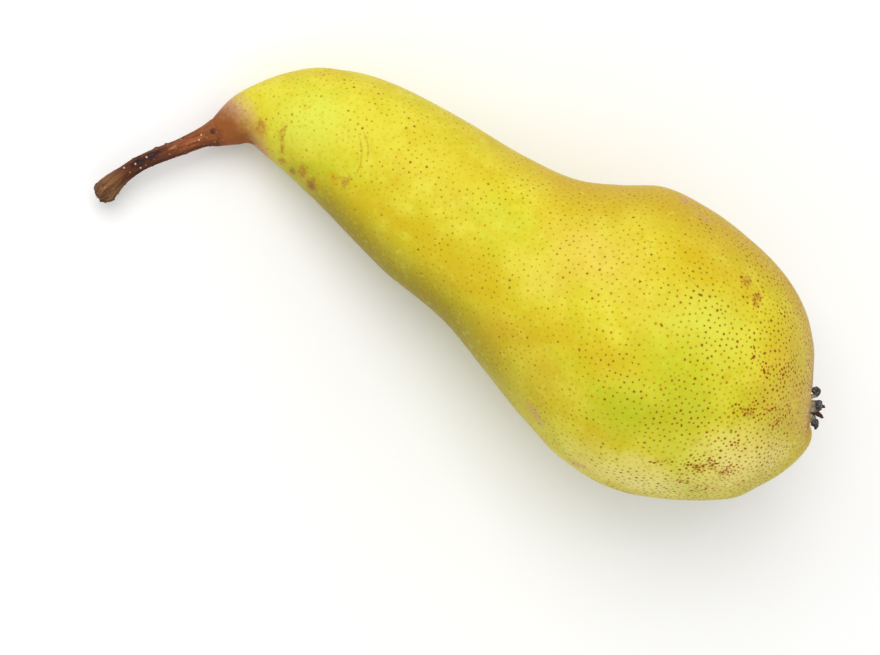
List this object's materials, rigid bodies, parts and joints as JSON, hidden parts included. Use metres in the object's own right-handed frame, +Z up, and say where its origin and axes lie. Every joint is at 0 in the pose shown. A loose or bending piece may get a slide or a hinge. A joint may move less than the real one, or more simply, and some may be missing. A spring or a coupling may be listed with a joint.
{
  "type": "pear",
  "caption": "Long-necked dessert pear lying on its side, with a bent woody stem and a small dried calyx.",
  "frame": {"origin": "middle of the bounding box's base, on the surface the pear lies on", "axes": "+X along the pear from stem end to calyx end, +Y to the outside of its bend, +Z up"},
  "size_m": [0.16, 0.0642, 0.0647],
  "materials": {
    "skin": "smooth waxy fruit skin, yellow-green with fine russet dots",
    "stem_bark": "dry brown bark with lengthwise wrinkles and small pale corky dots",
    "dried_sepal": "matt, dried, grey-brown",
    "dried_stamen": "matt, dried, red-brown thread"
  },
  "bodies": {
    "root": {"pear_body": "skin", "stem": "stem_bark", "sepal_1": "dried_sepal", "sepal_2": "dried_sepal", "sepal_3": "dried_sepal", "sepal_4": "dried_sepal", "sepal_5": "dried_sepal", "stamen_1": "dried_stamen", "stamen_2": "dried_stamen", "stamen_3": "dried_stamen", "stamen_4": "dried_stamen", "stamen_5": "dried_stamen"}
  },
  "joints": []
}
